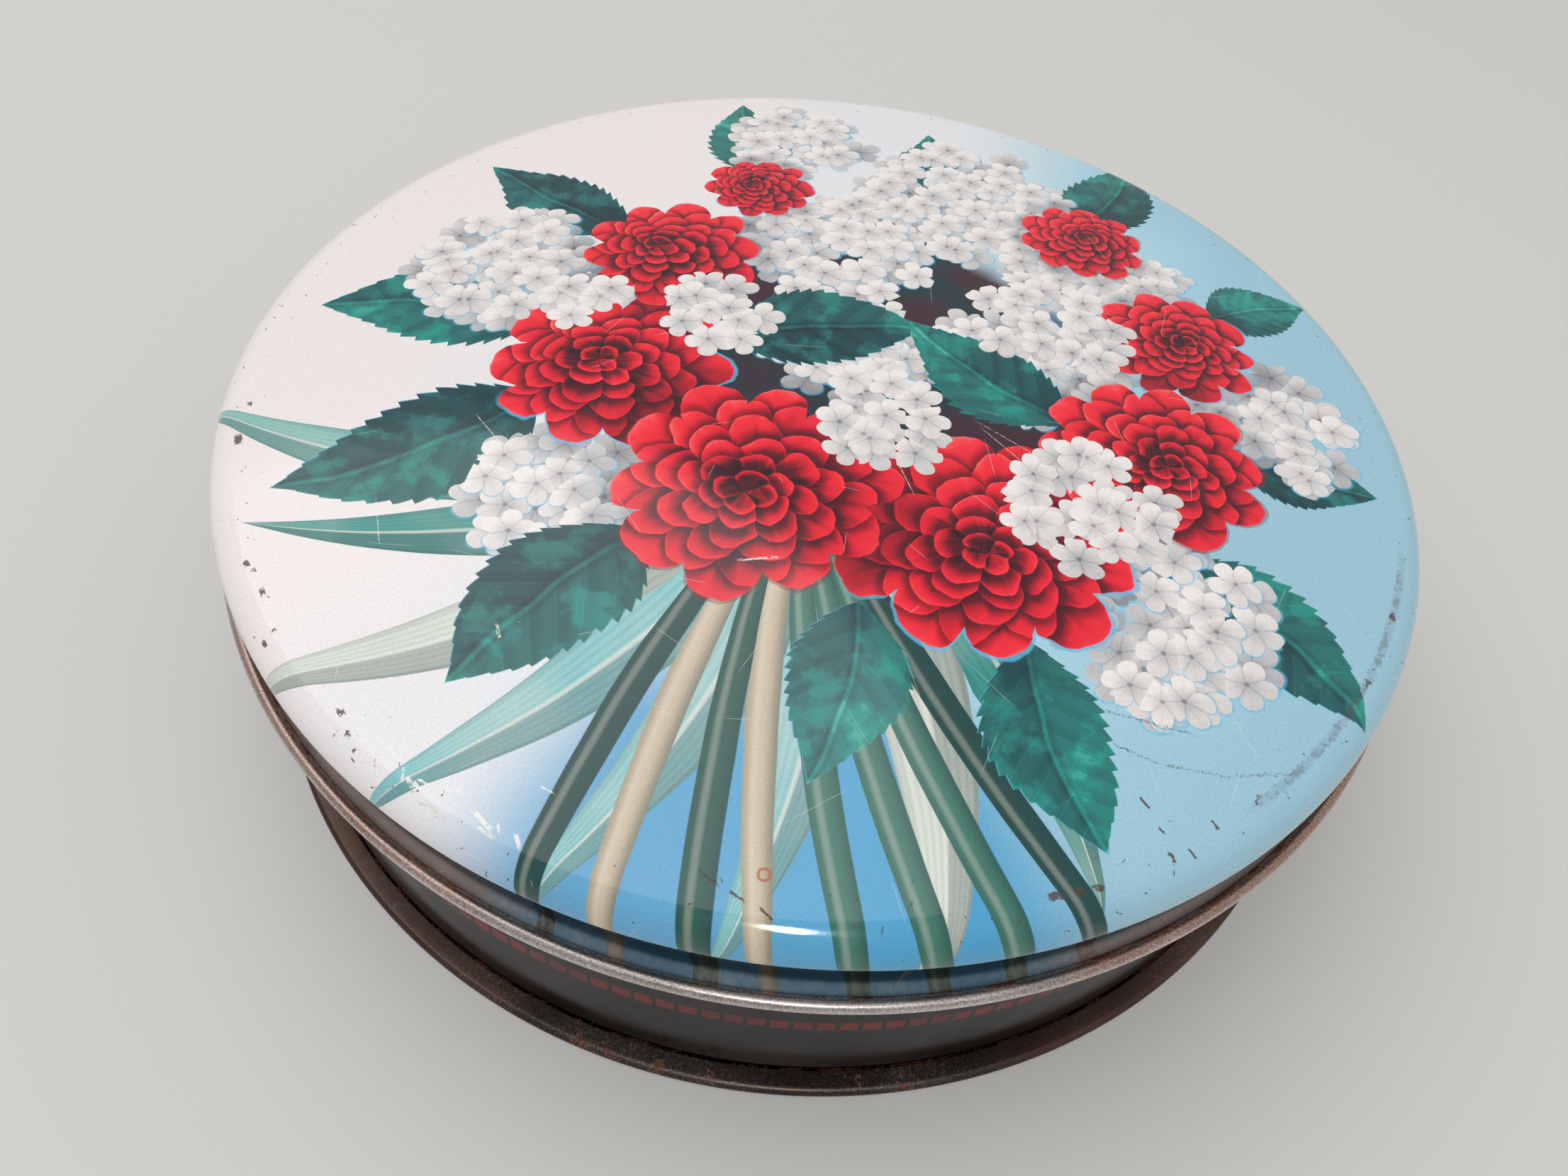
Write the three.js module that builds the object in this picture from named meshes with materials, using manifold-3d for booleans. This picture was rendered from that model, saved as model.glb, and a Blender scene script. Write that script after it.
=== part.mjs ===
// A round slip-lid sweet tin in three pieces of thin tinned sheet: a drawn lid with a curled edge,
// a rolled body with a lock seam, and a pressed bottom end hemmed round the body's flange.
// Millimetres, +Z up, origin on the axis at the surface the tin stands on.
import * as THREE from "three";
import { mergeVertices } from "three/addons/utils/BufferGeometryUtils.js";
import Module from "manifold-3d";

const wasm = await Module();
wasm.setup();

// The sheet, and the running and seating gaps between the pieces
const sheet = 0.3;
const lidClearance = 0.3; // lid's neck round the body wall
const seatGap = 0.3; // inside of the lid's shoulder over the body's rim
const hemGap = 0.3; // body's flange inside the hem of the bottom end, and panel wall inside the body

// Body wall
const bodyRadius = 71.85; // outside of the wall
const bodyHeight = 39.3; // from the table to the top of the curled rim
const rimCurlRadius = 0.8; // outside of the curl at the rim
const rimCurlDegrees = 225; // how far the curl turns in from the wall
const flangeWidth = 2.15; // how far the bottom flange stands out of the wall
const flangeBend = 0.35; // bend from wall to flange, at the middle of the sheet
const seamWidth = 5; // lock seam, along the wall
const seamDepth = 0.6; // how far the folded seam stands inward
const seamEndGap = 1; // the seam is left flat this far from the panel and from the rim curl

// Bottom end
const panelRecess = 1.2; // how far the panel is pressed up from the table
const panelBend = 0.4; // bends at the top and foot of the panel's wall, at the middle of the sheet

// Lid
const shoulderRadius = 3.62; // outside of the rounded shoulder
const shoulderBulge = 1.3; // how far the shoulder stands out of the neck
const domeRise = 2; // crown over the top of the shoulder
const tuckBend = 1.4; // under the shoulder, at the middle of the sheet
const neckBend = 1.1; // from the tuck into the neck, at the middle of the sheet
const skirtDrop = 7.7; // from the shoulder's widest ring down to the centre of the edge curl
const footBend = 1.4; // from the neck into the flared foot, at the middle of the sheet
const footFlareDegrees = 45; // the foot's slope off the vertical
const edgeCurlRadius = 0.77; // outside of the curled edge
const edgeReach = 2.55; // how far the curled edge stands out of the neck
const rawEdgeDegrees = 157; // where the raw edge stops, measured round the curl from straight out

// How finely round shapes are cut
const roundSteps = 72; // round the tin
const domeSteps = 4;
const shoulderSteps = 6;
const bendSteps = 2;
const curlSteps = 4; // on each side of a curl's outermost or topmost point

const rightAngle = Math.PI / 2;
const halfSheet = sheet / 2;

// Points of an arc in the (radius, height) plane, angles anticlockwise from straight out.
function arc(centreR, centreZ, radius, from, to, steps) {
  return Array.from({ length: steps + 1 }, (_, i) => {
    const angle = from + ((to - from) * i) / steps;
    return new THREE.Vector2(centreR + radius * Math.cos(angle), centreZ + radius * Math.sin(angle));
  });
}

// Stretches end to end: each starts on the last point of the one before, so that point is kept once.
function joined(...stretches) {
  return stretches.flatMap((stretch, i) => (i ? stretch.slice(1) : stretch));
}

// A line whose sharp corners are bent to a radius: corners are { at, bend }.
function bentLine(corners) {
  const line = [];
  corners.forEach(({ at, bend }, i) => {
    if (!bend) {
      line.push(at);
      return;
    }
    const before = corners[i - 1].at.clone().sub(at).normalize();
    const after = corners[i + 1].at.clone().sub(at).normalize();
    const halfAngle = Math.acos(before.dot(after)) / 2;
    const inward = before.clone().add(after).normalize();
    const centre = at.clone().add(inward.multiplyScalar(bend / Math.sin(halfAngle)));
    const start = at.clone().add(before.multiplyScalar(bend / Math.tan(halfAngle)));
    const end = at.clone().add(after.multiplyScalar(bend / Math.tan(halfAngle)));
    const from = start.clone().sub(centre).angle();
    let turn = end.clone().sub(centre).angle() - from;
    if (turn > Math.PI) turn -= 2 * Math.PI;
    if (turn < -Math.PI) turn += 2 * Math.PI;
    line.push(...arc(centre.x, centre.y, bend, from, from + turn, bendSteps));
  });
  return line;
}

// The closed outline of a sheet whose middle follows the line, half its thickness to each side.
// A line that starts on the tin's axis runs on as its own mirror image there.
function sheetOutline(line) {
  const beforeStart = line[0].x < halfSheet ? new THREE.Vector2(-line[1].x, line[1].y) : line[0];
  const sides = line.map((point, i) => {
    const into = point.clone().sub(line[i - 1] ?? beforeStart).normalize();
    const out = (line[i + 1] ?? point).clone().sub(point).normalize();
    const along = into.clone().add(out).normalize();
    const reach = halfSheet / along.dot(into.lengthSq() ? into : out);
    const across = new THREE.Vector2(-along.y, along.x).multiplyScalar(reach);
    return [point.clone().add(across), point.clone().sub(across)];
  });
  const left = sides.map(([side]) => side).reverse();
  const right = sides.map(([, side]) => side);
  return [...right, ...left];
}

// Spins an outline round the tin's axis. An outline that misses the axis is closed on itself.
function spun(outline) {
  const closed = outline[0].x > halfSheet ? [...outline, outline[0].clone()] : outline;
  return new THREE.LatheGeometry(closed, roundSteps).rotateX(rightAngle);
}

// A mesh's geometry as a closed solid, for joining.
function solidOf(geometry) {
  const bare = geometry.clone();
  bare.deleteAttribute("normal");
  bare.deleteAttribute("uv");
  const merged = mergeVertices(bare);
  return new wasm.Manifold(
    new wasm.Mesh({
      numProp: 3,
      vertProperties: merged.attributes.position.array,
      triVerts: new Uint32Array(merged.index.array),
    }),
  );
}

function geometryOf(solid) {
  const { vertProperties, triVerts } = solid.getMesh();
  const geometry = new THREE.BufferGeometry();
  geometry.setAttribute("position", new THREE.BufferAttribute(vertProperties, 3));
  geometry.setIndex(new THREE.BufferAttribute(triVerts, 1));
  return geometry;
}

function finish(color, roughness, metalness) {
  return new THREE.MeshStandardMaterial({ color, roughness, metalness });
}

// Body wall: flange, wall and the inward curl at the rim, all one strip
const wallMiddle = bodyRadius - halfSheet;
const flangeEdge = bodyRadius + flangeWidth;
const hemRadius = sheet + hemGap + halfSheet; // outside of the fold that makes the foot rim
const rimCurlMiddle = rimCurlRadius - halfSheet;
const rimCurlCentreR = bodyRadius - rimCurlRadius;
const rimCurlCentreZ = bodyHeight - rimCurlRadius;

function bodyWall() {
  const flange = bentLine([
    { at: new THREE.Vector2(flangeEdge, hemRadius) },
    { at: new THREE.Vector2(wallMiddle, hemRadius), bend: flangeBend },
    { at: new THREE.Vector2(wallMiddle, rimCurlCentreZ) },
  ]);
  const curlEnd = THREE.MathUtils.degToRad(rimCurlDegrees);
  const rise = arc(rimCurlCentreR, rimCurlCentreZ, rimCurlMiddle, 0, rightAngle, curlSteps);
  const fall = arc(rimCurlCentreR, rimCurlCentreZ, rimCurlMiddle, rightAngle, curlEnd, curlSteps);
  return spun(sheetOutline(joined(flange, rise, fall)));
}

// The lock seam: a flat pad of folded sheet inside the wall, at the back
function lockSeam() {
  const low = panelRecess + sheet + seamEndGap;
  const high = rimCurlCentreZ - rimCurlRadius - seamEndGap;
  const inner = bodyRadius - sheet - seamDepth;
  const pad = new THREE.BoxGeometry(seamWidth, wallMiddle - inner, high - low);
  return pad.translate(0, (wallMiddle + inner) / 2, (low + high) / 2);
}

const wallWithSeam = geometryOf(solidOf(bodyWall()).add(solidOf(lockSeam())));
const body = new THREE.Mesh(wallWithSeam, finish(0x120a0a, 0.28, 0.2));
body.name = "body_wall";

// Bottom end: panel, the panel's wall inside the body, the foot under the flange, and the hem over it
function bottomEnd() {
  const panelWallR = bodyRadius - sheet - hemGap - halfSheet;
  const hemMiddle = hemRadius - halfSheet;
  const hemCentreR = flangeEdge + hemGap - (hemRadius - sheet);
  const foot = bentLine([
    { at: new THREE.Vector2(0, panelRecess + halfSheet) },
    { at: new THREE.Vector2(panelWallR, panelRecess + halfSheet), bend: panelBend },
    { at: new THREE.Vector2(panelWallR, halfSheet), bend: panelBend },
    { at: new THREE.Vector2(hemCentreR, halfSheet) },
  ]);
  const fold = arc(hemCentreR, hemRadius, hemMiddle, -rightAngle, rightAngle, bendSteps * 2);
  const lap = [fold.at(-1), new THREE.Vector2(bodyRadius + hemGap, fold.at(-1).y)];
  return spun(sheetOutline(joined(foot, fold, lap)));
}

const bottom = new THREE.Mesh(bottomEnd(), finish(0x9a9894, 0.4, 0.9));
bottom.name = "bottom_end";

// Lid: dome and shoulder are tangent arcs, the tuck and neck an S-bend, and the edge a full curl
function lidSheet() {
  const neckR = bodyRadius + lidClearance + halfSheet;
  const widestR = neckR + shoulderBulge;
  const shoulderMiddle = shoulderRadius - halfSheet;
  const shoulderR = widestR - shoulderMiddle;

  // The shoulder's inside clears the body's rim curl by the seat gap
  const seatReach = shoulderRadius - sheet - rimCurlRadius - seatGap;
  const seatOffset = rimCurlCentreR - shoulderR;
  const shoulderZ = rimCurlCentreZ - Math.sqrt(seatReach ** 2 - seatOffset ** 2);

  const domeLessShoulder = (shoulderR ** 2 + domeRise ** 2) / (2 * domeRise);
  const domeMiddle = domeLessShoulder + shoulderMiddle;
  const domeCentreZ = shoulderZ + domeRise - domeLessShoulder;
  const domeEdge = Math.atan2(shoulderZ - domeCentreZ, shoulderR);

  const tuckTurn = Math.acos(1 - shoulderBulge / (tuckBend + neckBend));
  const neckZ = shoulderZ - (tuckBend + neckBend) * Math.sin(tuckTurn);

  const flare = THREE.MathUtils.degToRad(footFlareDegrees);
  const curlMiddle = edgeCurlRadius - halfSheet;
  const curlR = neckR + halfSheet + edgeReach - edgeCurlRadius;
  const curlZ = shoulderZ - skirtDrop;
  const curlStart = Math.PI + flare;
  const curlEnd = 2 * Math.PI + THREE.MathUtils.degToRad(rawEdgeDegrees);
  const curlUnder = arc(curlR, curlZ, curlMiddle, curlStart, 2 * Math.PI, curlSteps);
  const curlOver = arc(curlR, curlZ, curlMiddle, 2 * Math.PI, curlEnd, curlSteps);
  const footEnd = curlUnder[0];
  const footZ = footEnd.y + (footEnd.x - neckR) / Math.tan(flare);

  const line = joined(
    arc(0, domeCentreZ, domeMiddle, rightAngle, domeEdge, domeSteps),
    arc(shoulderR, shoulderZ, shoulderMiddle, domeEdge, 0, shoulderSteps),
    arc(widestR - tuckBend, shoulderZ, tuckBend, 0, -tuckTurn, bendSteps),
    arc(neckR + neckBend, neckZ, neckBend, Math.PI - tuckTurn, Math.PI, bendSteps),
    bentLine([
      { at: new THREE.Vector2(neckR, neckZ) },
      { at: new THREE.Vector2(neckR, footZ), bend: footBend },
      { at: footEnd },
    ]),
    curlUnder,
    curlOver,
  );
  return spun(sheetOutline(line));
}

const lid = new THREE.Mesh(lidSheet(), finish(0x9fc4cc, 0.3, 0.1));
lid.name = "lid";

const tin = new THREE.Group();
tin.add(body, bottom, lid);

export default tin;
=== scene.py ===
import math

import bmesh
import bpy
from mathutils import Matrix, Vector


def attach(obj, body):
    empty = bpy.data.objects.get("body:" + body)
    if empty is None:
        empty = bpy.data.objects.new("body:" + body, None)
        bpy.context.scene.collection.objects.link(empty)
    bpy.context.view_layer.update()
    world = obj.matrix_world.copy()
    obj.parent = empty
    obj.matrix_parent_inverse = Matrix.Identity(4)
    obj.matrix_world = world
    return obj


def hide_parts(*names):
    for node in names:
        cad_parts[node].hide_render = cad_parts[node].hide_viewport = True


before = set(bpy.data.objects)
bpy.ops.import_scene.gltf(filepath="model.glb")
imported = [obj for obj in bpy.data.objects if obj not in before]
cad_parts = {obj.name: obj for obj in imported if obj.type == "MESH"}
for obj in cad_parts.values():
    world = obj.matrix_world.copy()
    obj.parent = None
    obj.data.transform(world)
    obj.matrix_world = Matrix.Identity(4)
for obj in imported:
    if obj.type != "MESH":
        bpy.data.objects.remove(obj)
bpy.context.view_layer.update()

# Camera: it stands close in front of the tin and looks down on it through a wide lens. The
# photograph is 2212 by 1659 pixels. Metres here and below, and the camera's angles are radians.
picture_width = 2212
lens_in_pixels = 1600
sensor_width = 36  # millimetres, as Blender counts lenses
camera_distance = 0.153138  # from the middle of the lid's curled edge
camera_elevation = 0.7565905
camera_pan = 0.0159404
camera_tilt = -0.1264820
camera_roll = 0.1294167
curled_edge_height = 0.0288
clip_part = 20  # nothing nearer than this part of the camera's distance is drawn

camera = bpy.data.objects.new("camera", bpy.data.cameras.new("camera"))
bpy.context.scene.collection.objects.link(camera)
bpy.context.scene.camera = camera
camera.data.sensor_width = sensor_width
camera.data.lens = lens_in_pixels / picture_width * sensor_width
camera.data.clip_start = camera_distance / clip_part
aim = Matrix.Rotation(math.pi / 2 - camera_elevation, 4, "X")
aim = aim @ Matrix.Rotation(camera_pan, 4, "Y") @ Matrix.Rotation(camera_tilt, 4, "X")
aim = aim @ Matrix.Rotation(camera_roll, 4, "Z")
stand = Vector((0, -math.cos(camera_elevation), math.sin(camera_elevation))) * camera_distance
camera.matrix_world = Matrix.Translation(stand + Vector((0, 0, curled_edge_height))) @ aim


# Studio: a plain pale floor, an even pale room, a wide dim softbox overhead, and one small
# lamp, whose mirror image is the bright streak on the front of the lid's shoulder.
def paint(red, green, blue):
    """A picture's colour (sRGB, from 0 to 255), turned into the light that it sends back."""
    shares = [part / 255 for part in (red, green, blue)]
    light = [((share + 0.055) / 1.055) ** 2.4 if share > 0.04045 else share / 12.92 for share in shares]
    return (*light, 1)


floor_half_side = 3
floor_colour = paint(214, 212, 208)
floor_roughness = 0.9
floor_gloss = 0.1
room_strength = 0.5
lamp_distance = 1.0
# Name, direction from the tin, metres across and front to back, watts
lamps = [
    ("softbox", Vector((-0.3, 0.2, 0.933)), (1.1, 1.1), 4.0),
    ("streak_lamp", Vector((0.06, -0.58, 0.812)), (0.11, 0.3), 2.2),
]

floor_mesh = bmesh.new()
bmesh.ops.create_grid(floor_mesh, x_segments=1, y_segments=1, size=floor_half_side)
floor_data = bpy.data.meshes.new("floor")
floor_mesh.to_mesh(floor_data)
floor_mesh.free()
floor = bpy.data.objects.new("floor", floor_data)
bpy.context.scene.collection.objects.link(floor)
floor_paper = bpy.data.materials.new("floor_paper")
floor_paper.use_nodes = True
floor_shader = floor_paper.node_tree.nodes["Principled BSDF"]
floor_shader.inputs["Base Color"].default_value = floor_colour
floor_shader.inputs["Roughness"].default_value = floor_roughness
floor_shader.inputs["Specular IOR Level"].default_value = floor_gloss
floor_data.materials.append(floor_paper)

room = bpy.data.worlds.new("room")
bpy.context.scene.world = room
room.use_nodes = True
room.node_tree.nodes["Background"].inputs["Color"].default_value = (1, 1, 1, 1)
room.node_tree.nodes["Background"].inputs["Strength"].default_value = room_strength

for name, direction, across, watts in lamps:
    lamp = bpy.data.objects.new(name, bpy.data.lights.new(name, "AREA"))
    bpy.context.scene.collection.objects.link(lamp)
    lamp.data.shape = "ELLIPSE"
    lamp.data.size, lamp.data.size_y = across
    lamp.data.energy = watts
    lamp.location = direction * lamp_distance
    lamp.rotation_mode = "QUATERNION"
    lamp.rotation_quaternion = direction.to_track_quat("Z", "Y")

bpy.context.scene.view_settings.view_transform = "Standard"


# Body wall: one strip of thin tinned sheet rolled round, enamelled near-black outside with a row
# of small red dashes. Its ends are locked in a folded seam at the back, its top is curled inward
# and its foot is flanged outward for the bottom's hem.
sheet = 0.0003
merge_distance = sheet / 1000  # points closer than this count as one
round_steps = 240  # round the tin, on every piece
crease_degrees = 40  # a fold sharper than this shows as an edge

wall_radius = 0.07185  # outside
wall_height = 0.0393  # to the top of the curled rim
rim_curl_radius = 0.0008
rim_curl_degrees = 225
flange_edge = 0.074
flange_height = 0.00075  # middle of the sheet, off the table
flange_bend = 0.00035  # middle of the sheet
seam_half_width = 0.0025
seam_depth = 0.0006  # how far the folded seam stands inward
seam_low, seam_high = 0.0025, 0.0367
seam_line_depth = 0.00012  # the fold's line in the outside of the wall
seam_line_half_width = 0.00022


class SheetLine:
    """The outside of a spun sheet, drawn from one end as a line of radii and heights.
    Each point keeps how far along the sheet it lies, which the finishes read as "along"."""

    def __init__(self, radius, height):
        self.mesh = bmesh.new()
        self.along = self.mesh.verts.layers.float.new("along")
        self.end = self.mesh.verts.new((radius, 0, height))

    def run(self, out, up, steps=1):
        """Runs straight on by so much outward and upward."""
        for _ in range(steps):
            self.end = bmesh.ops.extrude_vert_indiv(self.mesh, verts=[self.end])["verts"][0]
            self.end.co += Vector((out, 0, up)) / steps

    def bend(self, radius, height, degrees, steps):
        """Bends round a centre in so many steps, anticlockwise where the axis is on the left."""
        bent = bmesh.ops.spin(
            self.mesh, geom=[self.end], cent=(radius, 0, height), axis=(0, -1, 0),
            angle=math.radians(degrees), steps=steps,
        )
        self.end = next(part for part in bent["geom_last"] if isinstance(part, bmesh.types.BMVert))

    def spin(self, starts_facing_up):
        """Measures the line and spins it once round the tin's axis, with its outside facing out."""
        points = list(self.mesh.verts)
        start = points[0].co.copy()
        for before, point in zip(points, points[1:]):
            point[self.along] = before[self.along] + (point.co - before.co).length
        bmesh.ops.spin(
            self.mesh, geom=self.mesh.verts[:] + self.mesh.edges[:], cent=(0, 0, 0), axis=(0, 0, 1),
            angle=math.tau, steps=round_steps, use_merge=True,
        )
        bmesh.ops.remove_doubles(self.mesh, verts=self.mesh.verts, dist=merge_distance)
        bmesh.ops.recalc_face_normals(self.mesh, faces=self.mesh.faces)
        first = min(self.mesh.faces, key=lambda face: (face.calc_center_median() - start).length)
        if (first.normal.z > 0) != starts_facing_up:
            bmesh.ops.reverse_faces(self.mesh, faces=self.mesh.faces)
        return self.mesh


def thickened(mesh):
    """Gives a spun sheet its thickness. Its inside and its cut edges are face slot 1."""
    outside = set(mesh.faces)
    bmesh.ops.solidify(mesh, geom=mesh.faces[:], thickness=sheet)
    for face in mesh.faces:
        face.material_index = 0 if face in outside else 1
        face.smooth = True


def piece(name, mesh, node, body, slot, *materials):
    """Makes the finished piece, in place of its plain solid and moving with its body."""
    data = bpy.data.meshes.new(name)
    mesh.to_mesh(data)
    mesh.free()
    data.set_sharp_from_angle(angle=math.radians(crease_degrees))
    made = bpy.data.objects.new(name, data)
    bpy.context.scene.collection.objects.link(made)
    for material in materials:
        data.materials.append(material)
    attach(made, body)
    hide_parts(node)


class Wire:
    """What comes out of a shader node. Sums and products of wires make further nodes."""

    def __init__(self, socket):
        self.socket = socket

    def __add__(self, other):
        return reckon("ADD", self, other)

    def __sub__(self, other):
        return reckon("SUBTRACT", self, other)

    def __rsub__(self, other):
        return reckon("SUBTRACT", other, self)

    def __mul__(self, other):
        return reckon("MULTIPLY", self, other)

    def __truediv__(self, other):
        return reckon("DIVIDE", self, other)

    def __abs__(self):
        return reckon("ABSOLUTE", self)


def lay(tree, kind, values, output=0, **settings):
    """Adds a node to a tree, with numbers, tuples or wires for its inputs, and returns one output."""
    made = tree.nodes.new(kind)
    for name, value in settings.items():
        setattr(made, name, value)
    for at, value in values.items():
        if isinstance(value, Wire):
            tree.links.new(value.socket, made.inputs[at])
        else:
            made.inputs[at].default_value = value
    return Wire(made.outputs[output])


def tree_of(*values):
    """The node tree that the first wire among the values belongs to."""
    return next(value.socket.id_data for value in values if isinstance(value, Wire))


def reckon(operation, *values, output=0):
    """A sum of numbers, or of places where any value is one."""
    tree = tree_of(*values)
    kinds = [value.socket.type for value in values if isinstance(value, Wire)]
    if "VECTOR" not in kinds and not any(isinstance(value, tuple) for value in values):
        return lay(tree, "ShaderNodeMath", dict(enumerate(values)), operation=operation)
    if operation == "MULTIPLY" and isinstance(values[1], Wire) and values[1].socket.type == "VALUE":
        place_and_scale = {0: values[0], 3: values[1]}
        return lay(tree, "ShaderNodeVectorMath", place_and_scale, operation="SCALE")
    spread = [(value,) * 3 if isinstance(value, (int, float)) else value for value in values]
    return lay(tree, "ShaderNodeVectorMath", dict(enumerate(spread)), output, operation=operation)


def dot(place, direction):
    """How far a place lies in a direction, times the direction's own length."""
    return reckon("DOT_PRODUCT", place, direction, output="Value")


def split(value):
    """The three coordinates of a place, or the three parts of a random colour."""
    if value.socket.type == "RGBA":
        first = lay(tree_of(value), "ShaderNodeSeparateColor", {0: value})
        return [Wire(out) for out in first.socket.node.outputs]
    return [dot(value, axis) for axis in ((1.0, 0.0, 0.0), (0.0, 1.0, 0.0), (0.0, 0.0, 1.0))]


def joined(x, y, z=0.0):
    """A place made of its three coordinates."""
    return lay(tree_of(x, y, z), "ShaderNodeCombineXYZ", {0: x, 1: y, 2: z})


def step(value, start, end, low=0.0, high=1.0):
    """Goes smoothly from low to high as the value goes from start to end."""
    values = {0: value, 1: start, 2: end, 3: low, 4: high}
    return lay(tree_of(value), "ShaderNodeMapRange", values, interpolation_type="SMOOTHSTEP")


def blend(share, first, second):
    """Mixes two colours, places or numbers."""
    tree = tree_of(share, first, second)
    # The node's setting, its first input and its output for each kind of value
    kinds = {"RGBA": ("RGBA", 6, 2), "VECTOR": ("VECTOR", 4, 1), "VALUE": ("FLOAT", 2, 0)}
    kind = "VALUE"
    for value in (first, second):
        if isinstance(value, Wire):
            kind = value.socket.type
        elif isinstance(value, tuple):
            kind = "RGBA" if len(value) == 4 else "VECTOR"
            break
    data_type, at, output = kinds[kind]
    values = {0: share, at: first, at + 1: second}
    return lay(tree, "ShaderNodeMix", values, output, data_type=data_type)


def tinted(value, stops):
    """A colour for a number, from a list of (number from 0 to 1, red, green, blue)."""
    tinted_value = lay(tree_of(value), "ShaderNodeValToRGB", {0: value})
    ramp = tinted_value.socket.node.color_ramp
    for _ in stops[2:]:
        ramp.elements.new(0.5)
    for element, (at, *colour) in zip(ramp.elements, stops):
        element.position = at
        element.color = paint(*colour)
    return tinted_value


def noise(place, size, detail=2.0, roughness=0.5, flat=False):
    """Soft cloudy numbers about 0.5, with clouds of about that size, on a flat sheet or in space."""
    values = {"Vector": place, "Scale": 1 / size, "Detail": detail, "Roughness": roughness}
    dimensions = "2D" if flat else "3D"
    return lay(tree_of(place), "ShaderNodeTexNoise", values, "Fac", noise_dimensions=dimensions)


def chance_of(number, kind=12.9898):
    """An even but random-looking number from 0 to 1 for each whole number, and for each kind."""
    mixing = 4375.85453
    return reckon("FRACT", reckon("SINE", number * kind) * mixing)


def effect(name, inputs, outputs):
    """Starts a node group. Gives its input wires, and the node that its outputs are joined to."""
    tree = bpy.data.node_groups.new(name, "ShaderNodeTree")
    kinds = {"Place": "NodeSocketVector", "Lean": "NodeSocketVector", "Colour": "NodeSocketColor"}
    for direction, sockets in (("INPUT", inputs), ("OUTPUT", outputs)):
        for socket in sockets:
            kind = kinds.get(socket, "NodeSocketFloat")
            tree.interface.new_socket(socket, in_out=direction, socket_type=kind)
    start = tree.nodes.new("NodeGroupInput")
    end = tree.nodes.new("NodeGroupOutput")
    return [Wire(out) for out in start.outputs[:-1]], end


def close(end, *results):
    """Ends a node group: joins its results to its outputs, and gives the group."""
    for socket, result in zip(end.inputs, results):
        end.id_data.links.new(result.socket, socket)
    return end.id_data


def place_effect(group, *values):
    """Places a node group, and gives all its outputs."""
    made = tree_of(*values).nodes.new("ShaderNodeGroup")
    made.node_tree = group
    for socket, value in zip(made.inputs, values):
        if isinstance(value, Wire):
            made.id_data.links.new(value.socket, socket)
        else:
            socket.default_value = value
    return [Wire(out) for out in made.outputs]


millimetre = 0.001


def coated(name):
    """Starts a finish. Gives it, its shader, the place on the piece, and how far along the sheet,
    both in millimetres."""
    material = bpy.data.materials.new(name)
    material.use_nodes = True
    tree = material.node_tree
    place = lay(tree, "ShaderNodeTexCoord", {}, "Object") * (1 / millimetre)
    along = lay(tree, "ShaderNodeAttribute", {}, "Fac", attribute_name="along") * (1 / millimetre)
    return material, tree.nodes["Principled BSDF"], place, along


def dress(shader, **wires):
    """Joins wires and plain values to a shader's sockets: Base_Color stands for Base Color."""
    for name, value in wires.items():
        socket = shader.inputs[name.replace("_", " ")]
        if isinstance(value, Wire):
            socket.id_data.links.new(value.socket, socket)
        else:
            socket.default_value = value


def bump(height, depth):
    """Raises the surface by so many millimetres where the height is 1."""
    values = {"Strength": 1.0, "Distance": depth * millimetre, "Height": height}
    return lay(tree_of(height), "ShaderNodeBump", values, "Normal")


def unrolled(place, along, radius):
    """A place on a round wall once the sheet is unrolled flat, in millimetres from the front."""
    x, y, _ = split(place)
    return joined(reckon("ARCTAN2", x, 0.0 - y) * radius, along)


def spread_flat(place, along):
    """A place on a pressed disc once the sheet is flat again, in millimetres from its middle."""
    return reckon("NORMALIZE", place * (1.0, 1.0, 0.0)) * along


def round_about(place, degrees, half_spread):
    """1 in the sector about a direction from the tin's axis, fading out past so many degrees."""
    fades_over = 1.4  # times the half spread
    turned = math.radians(degrees)
    sector_middle = (math.cos(turned), math.sin(turned), 0.0)
    toward = dot(reckon("NORMALIZE", place * (1.0, 1.0, 0.0)), sector_middle)
    faded_out = math.cos(math.radians(half_spread * fades_over))
    return step(toward, faded_out, math.cos(math.radians(half_spread)))


def rusty_sides(place):
    """Where the photograph shows the most rust: 1 at the front right, and less at the front left."""
    front_right = round_about(place, -44.0, 18.0)
    front_left = round_about(place, -128.0, 14.0) * 0.6
    return reckon("MAXIMUM", front_right, front_left)


# Rust: freckles that gather into patches. Amount is 0 for clean tin and 1 for rust all over.
(place, amount), end = effect("rust", ("Place", "Amount"), ("Cover", "Colour"))
patch_size, freckle_size = 3.2, 0.45  # millimetres
patches = noise(place, patch_size, detail=3)
freckles = noise(place, freckle_size, detail=4, roughness=0.65)
rusted = step(patches * 0.6 + freckles * 0.55 + amount, 1.02, 1.1)
rust_tones = [(0.3, 52, 28, 20), (0.5, 98, 52, 32), (0.7, 138, 80, 50)]
rust_colour = tinted(freckles, rust_tones)
rust = close(end, rusted, rust_colour)

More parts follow.
